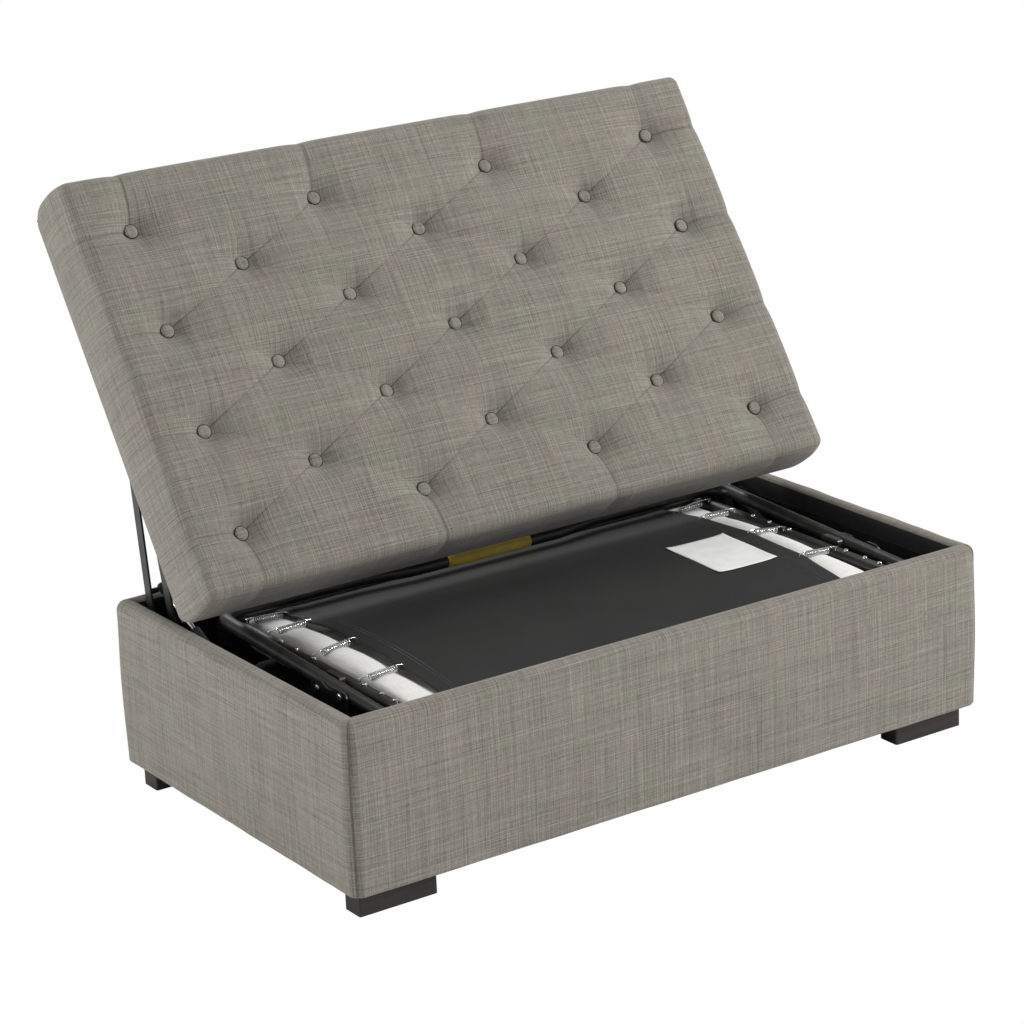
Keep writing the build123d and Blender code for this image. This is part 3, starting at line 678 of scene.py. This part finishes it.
def covered_buttons():
    """Domed cloth buttons: a half-round profile turned about each button's axis, leaning a little."""
    profile = np.array([(0.0, 1.0), (0.25, 0.99), (0.5, 0.96), (0.72, 0.88), (0.88, 0.70), (0.97, 0.38),
                        (1.0, 0.0), (0.95, -0.35), (0.7, -0.6), (0.0, -0.6)])
    sides = 26
    turn = np.arange(sides) * 2 * np.pi / sides
    ring = np.stack([np.cos(turn), np.sin(turn)], 1) * button_round
    xy = (profile[:, :1, None] * ring[None]).reshape(-1, 2)
    rise = np.repeat(profile[:, 1] * button_rise, sides)
    quads = grid_faces(len(profile), sides, wrap_cols=True)[:, ::-1]
    points, faces, maps = [], [], []
    for number, place in enumerate(buttons):
        lean = rng.normal(0, 0.05, 2)
        local = np.column_stack([xy + place, button_seat + rise + xy @ lean])
        maps.append(local[:, :2][quads].reshape(-1, 2))
        points.append(to_object(local))
        faces.append(quads + number * len(local))
    obj = mesh_piece("covered_buttons", np.vstack(points), np.vstack(faces), "lid", LINEN,
                     np.vstack(maps))
    weld(obj.data)
    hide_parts("lid_buttons")


def button_shade_rings():
    """A thin dark ring on the shoulder of each button, painted shade for the shadow in the gap round it: a
    circle swept along a circle.
    """
    long_count, round_count = 30, 8
    around = (np.arange(long_count) * 2 * np.pi / long_count)[:, None]
    across = (np.arange(round_count) * 2 * np.pi / round_count)[None, :]
    ring_tube_round = 0.95 * MM
    reach = 0.96 * button_round + ring_tube_round * np.cos(across)
    rise = button_seat + 0.40 * button_rise + ring_tube_round * np.sin(across) + 0 * around
    quads = grid_faces(long_count, round_count, True, True)[:, ::-1]
    points, faces = [], []
    for number, (bx, by) in enumerate(buttons):
        local = np.stack([bx + reach * np.cos(around), by + reach * np.sin(around), rise], -1)
        points.append(to_object(local.reshape(-1, 3)))
        faces.append(quads + number * long_count * round_count)
    mesh_piece("button_shade_rings", np.vstack(points), np.vstack(faces), "lid", SHADE_RING)


lid_cushion()
covered_buttons()
button_shade_rings()

# Mattresses and decks of the folded sections
spring_places = [154.9 * MM, 89.8 * MM, -28 * MM, -148.2 * MM]
rail_top_x, hook_z = 412 * MM, 260 * MM
deck_low, deck_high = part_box("middle_deck")
deck_half = deck_high.x
deck_arch = 20 * MM
hem_x = deck_half - 31 * MM


def arch_height(y):
    """The deck's arch along Y: a half sine, a little fuller to the front."""
    v = np.clip((y - deck_low.y) / (deck_high.y - deck_low.y), 0, 1)
    return deck_arch * np.sin(np.pi * v ** 0.9) ** 0.95


def spring_pull(y):
    """How near a point lies to a spring, from 0 to 1: the highest of a bell curve round each spring."""
    pull = np.zeros_like(y)
    for place in spring_places:
        pull = np.maximum(pull, np.exp(-((y - place) / (26 * MM)) ** 2))
    return pull


def mattress(node, name, up):
    """A thin mattress: a rounded box with a crown, quilting dimples and softly drawn-in sides.

    The crown falls with the fourth power of the distance from the middle, and the dimples are a product
    of two sines. The middle one lies face down, and swells up in a strip between its deck and the
    rails."""
    low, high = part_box(node)
    centre = (np.array(low) + np.array(high)) / 2
    half = ((high.x - low.x) / 2, (high.y - low.y) / 2)
    thick = high.z - low.z
    points, quads, uv = rounded_box(half, 0.0, thick, 16 * MM, 22 * MM, 8 * MM)
    x, y, z = points.T
    crown = (1 - (x / half[0]) ** 4) * (1 - (y / half[1]) ** 4)
    ripple = np.sin(x * 52) * np.sin(y * 47 + 0.6)
    z = z - np.clip(z / thick, 0, 1) * (1.5 * MM * (1 - crown) + 0.8 * MM * ripple)
    draw = 3 * MM * (1 - np.sin(np.pi * np.clip(z / thick, 0, 1)))
    x = x - np.sign(x) * draw * (np.abs(x) > half[0] - 12 * MM)
    if up < 0:
        z = thick - z
        quads = quads[:, ::-1]
        uv = uv.reshape(-1, 4, 2)[:, ::-1].reshape(-1, 2)
        strip_from = deck_half - 6 * MM
        strip = np.clip((np.abs(x) - strip_from) / (half[0] - strip_from), 0, 1)
        upper = np.clip(z / thick * 3 - 2, 0, 1)
        swell = 0.85 * arch_height(y + centre[1]) * (1 - 0.12 * spring_pull(y + centre[1]))
        z = z + upper * swell * np.sin(np.pi * strip) ** 0.6
    points = np.stack([x + centre[0], y + centre[1], z + low.z], 1)
    finish = TICKING if up < 0 else LOWER_TICKING
    obj = mesh_piece(name, points, quads, "bed", finish, uv)
    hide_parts(node)


mattress("head_mattress", "head_mattress_pad", 1)
mattress("foot_end_mattress", "foot_end_mattress_pad", 1)
mattress("middle_mattress", "middle_mattress_pad", -1)


def deck_height(x, y):
    """The middle deck's upper side: an arch along Y that is fuller to the front, a little lower at its
    sides, with a hem one cloth thicker."""
    v = np.clip((y - deck_low.y) / (deck_high.y - deck_low.y), 0, 1)
    u = np.abs(x) / deck_half
    arch = arch_height(y) * (1 - 0.12 * u ** 4)
    hem = 0.7 * MM / (1 + np.exp(-(np.abs(x) - hem_x) / (1.2 * MM)))
    wave = 0.25 * MM * np.sin(x * 19 + 1) * np.sin(y * 23) * np.sin(np.pi * v)
    return deck_low.z + 1.7 * MM + arch + hem + wave


def deck_piece(node, name, top_of, scallop):
    """A stretched deck: a thin sheet whose side edges draw in between the springs."""
    low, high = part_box(node)
    u = np.linspace(-1, 1, 140)[None, :]
    y = np.linspace(low.y, high.y, 90)[:, None]
    half = (high.x - low.x) / 2
    x = u * (half - scallop * (1 - spring_pull(y)))
    y = y + 0 * x
    points, faces = thin_sheet(np.stack([x, y, top_of(x, y)], -1), 1.2 * MM)
    obj = mesh_piece(name, points, faces, "bed", DECK)
    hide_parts(node)


deck_piece("middle_deck", "middle_deck_cloth", deck_height, 3.5 * MM)
for node in ("head_deck", "foot_end_deck"):
    flat_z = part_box(node)[0].z + 1.6 * MM
    deck_piece(node, node + "_cloth", lambda x, y, z=flat_z: z + 0 * x, 0.0)


def stitches():
    """Rows of short thread dashes along both hems, each a thin round tube that dips at its ends."""
    parts = []
    for row_x in (hem_x - 1.5 * MM, hem_x + 5 * MM):
        for sign in (-1, 1):
            for y in np.arange(deck_low.y + 8 * MM, deck_high.y - 8 * MM, 5.2 * MM):
                run = np.linspace(y, y + 3.8 * MM, 4)
                lift = np.array([-0.2, 0.35, 0.35, -0.2]) * MM
                x = np.full(4, sign * row_x)
                parts.append(tube(np.stack([x, run, deck_height(x, run) + lift], 1), 0.55 * MM, 5))
    points, faces = joined(parts)
    mesh_piece("deck_stitches", points, faces, "bed", THREAD)


stitches()


def label_card():
    """A bare card laid over the deck's arch, whose corners lift by a fourth power."""
    low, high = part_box("deck_label")
    x, y = np.meshgrid(np.linspace(low.x, high.x, 30), np.linspace(low.y, high.y, 34))
    u = 2 * (x - low.x) / (high.x - low.x) - 1
    v = 2 * (y - low.y) / (high.y - low.y) - 1
    z = deck_height(np.minimum(x, hem_x - 5 * MM), y) + 0.5 * MM + 2.2 * MM * (u * v) ** 4
    points, faces = thin_sheet(np.stack([x, y, z], -1), 0.35 * MM)
    obj = mesh_piece("bare_label_card", points, faces, "bed", CARD)
    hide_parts("deck_label")


label_card()


def spring_path(y, side):
    """One spring's wire: a hook at the rail, a helix of 12 turns, and a hook at the deck's hem."""
    rail_end = np.array([rail_top_x - 4 * MM, y, hook_z])
    hem_end_x = deck_half - 4 * MM
    deck_end = np.array([hem_end_x, y, float(deck_height(np.array(hem_end_x), np.array(y)))])
    line = deck_end - rail_end
    length = np.linalg.norm(line)
    line /= length
    along_y = np.array([0, 1.0, 0])
    up = np.cross(line, along_y)
    up *= np.sign(up[2])
    start, end, turns, radius = 15 * MM, length - 10 * MM, 12, 4.4 * MM
    t = np.linspace(0, 1, turns * 14 + 1)[:, None]
    angle = 2 * np.pi * turns * t
    ring = np.cos(angle) * up + np.sin(angle) * along_y
    coil = rail_end + line * (start + (end - start) * t) + radius * ring
    hook_one = rail_end + np.array([[0, 0, -6], [-1.5, 0, -2], [-0.5, 0, 1.5], [2.5, 0, 2.6]]) * MM
    lead = np.stack([hook_one[-1] * (1 - s) + coil[0] * s for s in (0.35, 0.7)])
    hook_two = deck_end + np.array([[3, 0, 2.6], [-0.5, 0, 2.2], [-3, 0, 0.5], [-2.5, 0, -1.5]]) * MM
    tail = np.stack([coil[-1] * (1 - s) + hook_two[0] * s for s in (0.35, 0.7)])
    path = np.vstack([hook_one, lead, coil, tail, hook_two])
    path[:, 0] *= side
    return path


def rail_springs():
    """Four bright coil springs on each side, from the rail down to the deck's hem."""
    for side, name in ((-1, "left"), (1, "right")):
        points, faces = joined([tube(spring_path(y, side), 0.95 * MM, 7) for y in spring_places])
        obj = mesh_piece("rail_springs_" + name, points, faces, "bed", CHROME)
        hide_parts("middle_springs_" + name)


rail_springs()


def dome_rings(centre, axis, radius, rise, sides=18):
    """A domed rivet head: rings of a half ellipse turned about its axis, closed at its base."""
    axis = np.array(axis, float)
    other = np.array([0, 1.0, 0]) if abs(axis[1]) < 0.9 else np.array([1.0, 0, 0])
    side = np.cross(axis, other)
    turn = np.arange(sides) * 2 * np.pi / sides
    ring = np.cos(turn)[:, None] * side + np.sin(turn)[:, None] * np.cross(axis, side)
    steps = np.radians(np.linspace(0, 84, 7))
    points = [centre + ring * radius * math.cos(s) + axis * rise * math.sin(s) for s in steps]
    points = np.vstack(points + [[centre + axis * rise], [centre]])
    faces = [tuple(q) for q in grid_faces(7, sides, wrap_cols=True)]
    top, base = 7 * sides, 7 * sides + 1
    faces += [(6 * sides + i, 6 * sides + (i + 1) % sides, top) for i in range(sides)]
    faces += [((i + 1) % sides, i, base) for i in range(sides)]
    return points, faces


def leg_height(y):
    """Height of the leg tube's middle line, which falls evenly from its back run to its front ends."""
    low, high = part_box("leg_tube")
    tube_radius = 10 * MM
    share = (y - low.y) / (high.y - tube_radius - low.y)
    return low.z + tube_radius + share * (high.z - low.z - 2 * tube_radius)


def latch_rivets():
    """Two bright rivets on each latch plate, the front one on the head of its pin."""
    tube_low, tube_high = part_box("leg_tube")
    pin_x = max(abs(tube_low.x), abs(tube_high.x))
    rivet_gap = 30 * MM
    for side, name in ((-1, "left"), (1, "right")):
        low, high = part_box("leg_latch_" + name)
        plate_x = high.x if side > 0 else low.x
        middle = (low.y + high.y) / 2
        back_rivet = np.array([plate_x, middle + rivet_gap, low.z + 0.62 * (high.z - low.z)])
        points, faces = dome_rings(back_rivet, (side, 0, 0), 5.5 * MM, 3 * MM)
        mesh_piece("latch_rivet_back_" + name, points, faces, "leg_latch_" + name, CHROME)
        front_rivet = np.array([side * pin_x, middle - rivet_gap, leg_height(middle - rivet_gap)])
        points, faces = dome_rings(front_rivet, (side, 0, 0), 6.4 * MM, 2.4 * MM)
        mesh_piece("latch_rivet_front_" + name, points, faces, "bed", CHROME)


latch_rivets()


def tape_band():
    """A pale yellow band round the leg's back run, a short sleeve just over the tube."""
    back_run_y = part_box("leg_tube")[1].y - 10 * MM
    leg_joggle = 16 * MM
    x = np.linspace(-70 * MM, 75 * MM, 12)
    path = np.stack([x, 0 * x + back_run_y - leg_joggle, 0 * x + leg_height(back_run_y)], 1)
    points, faces = tube(path, 10.35 * MM, 28)
    mesh_piece("yellow_tape_band", points, faces, "bed", TAPE)


tape_band()

# Camera, floor and light
scene = bpy.context.scene
camera_yaw, camera_pitch, camera_roll = math.radians(-33.50), math.radians(18.07), math.radians(-2.62)
object_length = 2 * half_length
camera_distance, camera_pixels = 4.397 * object_length, 3335.6
aim = np.array([-0.053, 0.0, 0.358]) * object_length
level = math.cos(camera_pitch)
back = np.array([math.sin(camera_yaw) * level, -math.cos(camera_yaw) * level, math.sin(camera_pitch)])
right = np.array([math.cos(camera_yaw), math.sin(camera_yaw), 0])
above = np.cross(back, right)
rolled_right = right * math.cos(camera_roll) + above * math.sin(camera_roll)
rolled_up = -right * math.sin(camera_roll) + above * math.cos(camera_roll)
camera_data = bpy.data.cameras.new("photo_camera")
camera_data.sensor_width = 36
camera_data.lens = 36 * camera_pixels / 1024
camera = bpy.data.objects.new("photo_camera", camera_data)
scene.collection.objects.link(camera)
place = Matrix(np.stack([rolled_right, rolled_up, back], 1).tolist()).to_4x4()
place.translation = Vector(aim + back * camera_distance)
camera.matrix_world = place
scene.camera = camera

floor_mesh = bpy.data.meshes.new("floor")
far = 14.0
floor_corners = [(-far, -far, 0), (far, -far, 0), (far, far, 0), (-far, far, 0)]
floor_mesh.from_pydata(floor_corners, [], [(0, 1, 2, 3)])
floor = bpy.data.objects.new("floor", floor_mesh)
scene.collection.objects.link(floor)
pale = Finish("pale_floor")
ground = pale.place()
grain = pale.noise(ground, 3.0)
pale.colour(pale.mix(grain, (0.84, 0.84, 0.84), (0.88, 0.88, 0.88)))
pale.set(Roughness=0.9)
seen = pale.node("ShaderNodeLightPath")
white = pale.node("ShaderNodeEmission", {"Color": (1, 1, 1, 1), "Strength": 1.0})
blend = pale.node("ShaderNodeMixShader")
pale.join(seen.outputs["Is Camera Ray"], blend.inputs[0])
pale.join(pale.shader.outputs[0], blend.inputs[1])
pale.join(white.outputs[0], blend.inputs[2])
pale.join(blend.outputs[0], pale.tree.nodes["Material Output"].inputs["Surface"])
floor_mesh.materials.append(pale.material)

world = bpy.data.worlds.new("studio")
scene.world = world
world.use_nodes = True
sky = world.node_tree
plain = sky.nodes["Background"]
bright = sky.nodes.new("ShaderNodeBackground")
for shine, strength in ((plain, 0.42), (bright, 1.0)):
    shine.inputs["Color"].default_value = (1, 1, 1, 1)
    shine.inputs["Strength"].default_value = strength
seen = sky.nodes.new("ShaderNodeLightPath")
mixed = sky.nodes.new("ShaderNodeMixShader")
sky.links.new(seen.outputs["Is Camera Ray"], mixed.inputs[0])
sky.links.new(plain.outputs[0], mixed.inputs[1])
sky.links.new(bright.outputs[0], mixed.inputs[2])
sky.links.new(mixed.outputs[0], sky.nodes["World Output"].inputs["Surface"])


def softbox(name, at, power, size):
    """A square area lamp that looks at the object's middle."""
    data = bpy.data.lights.new(name, "AREA")
    data.energy = power
    data.size = size
    lamp = bpy.data.objects.new(name, data)
    aim_turn = (Vector((0, 0, 0.35)) - Vector(at)).to_track_quat("-Z", "Y")
    lamp.matrix_world = Matrix.Translation(at) @ aim_turn.to_matrix().to_4x4()
    scene.collection.objects.link(lamp)


softbox("key", (4.1, -3.9, 3.7), 385, 1.5)
softbox("fill", (-3.6, 1.2, 0.7), 90, 2.0)
softbox("rim", (0.5, 3.0, 3.2), 45, 2.0)
scene.view_settings.view_transform = "Standard"
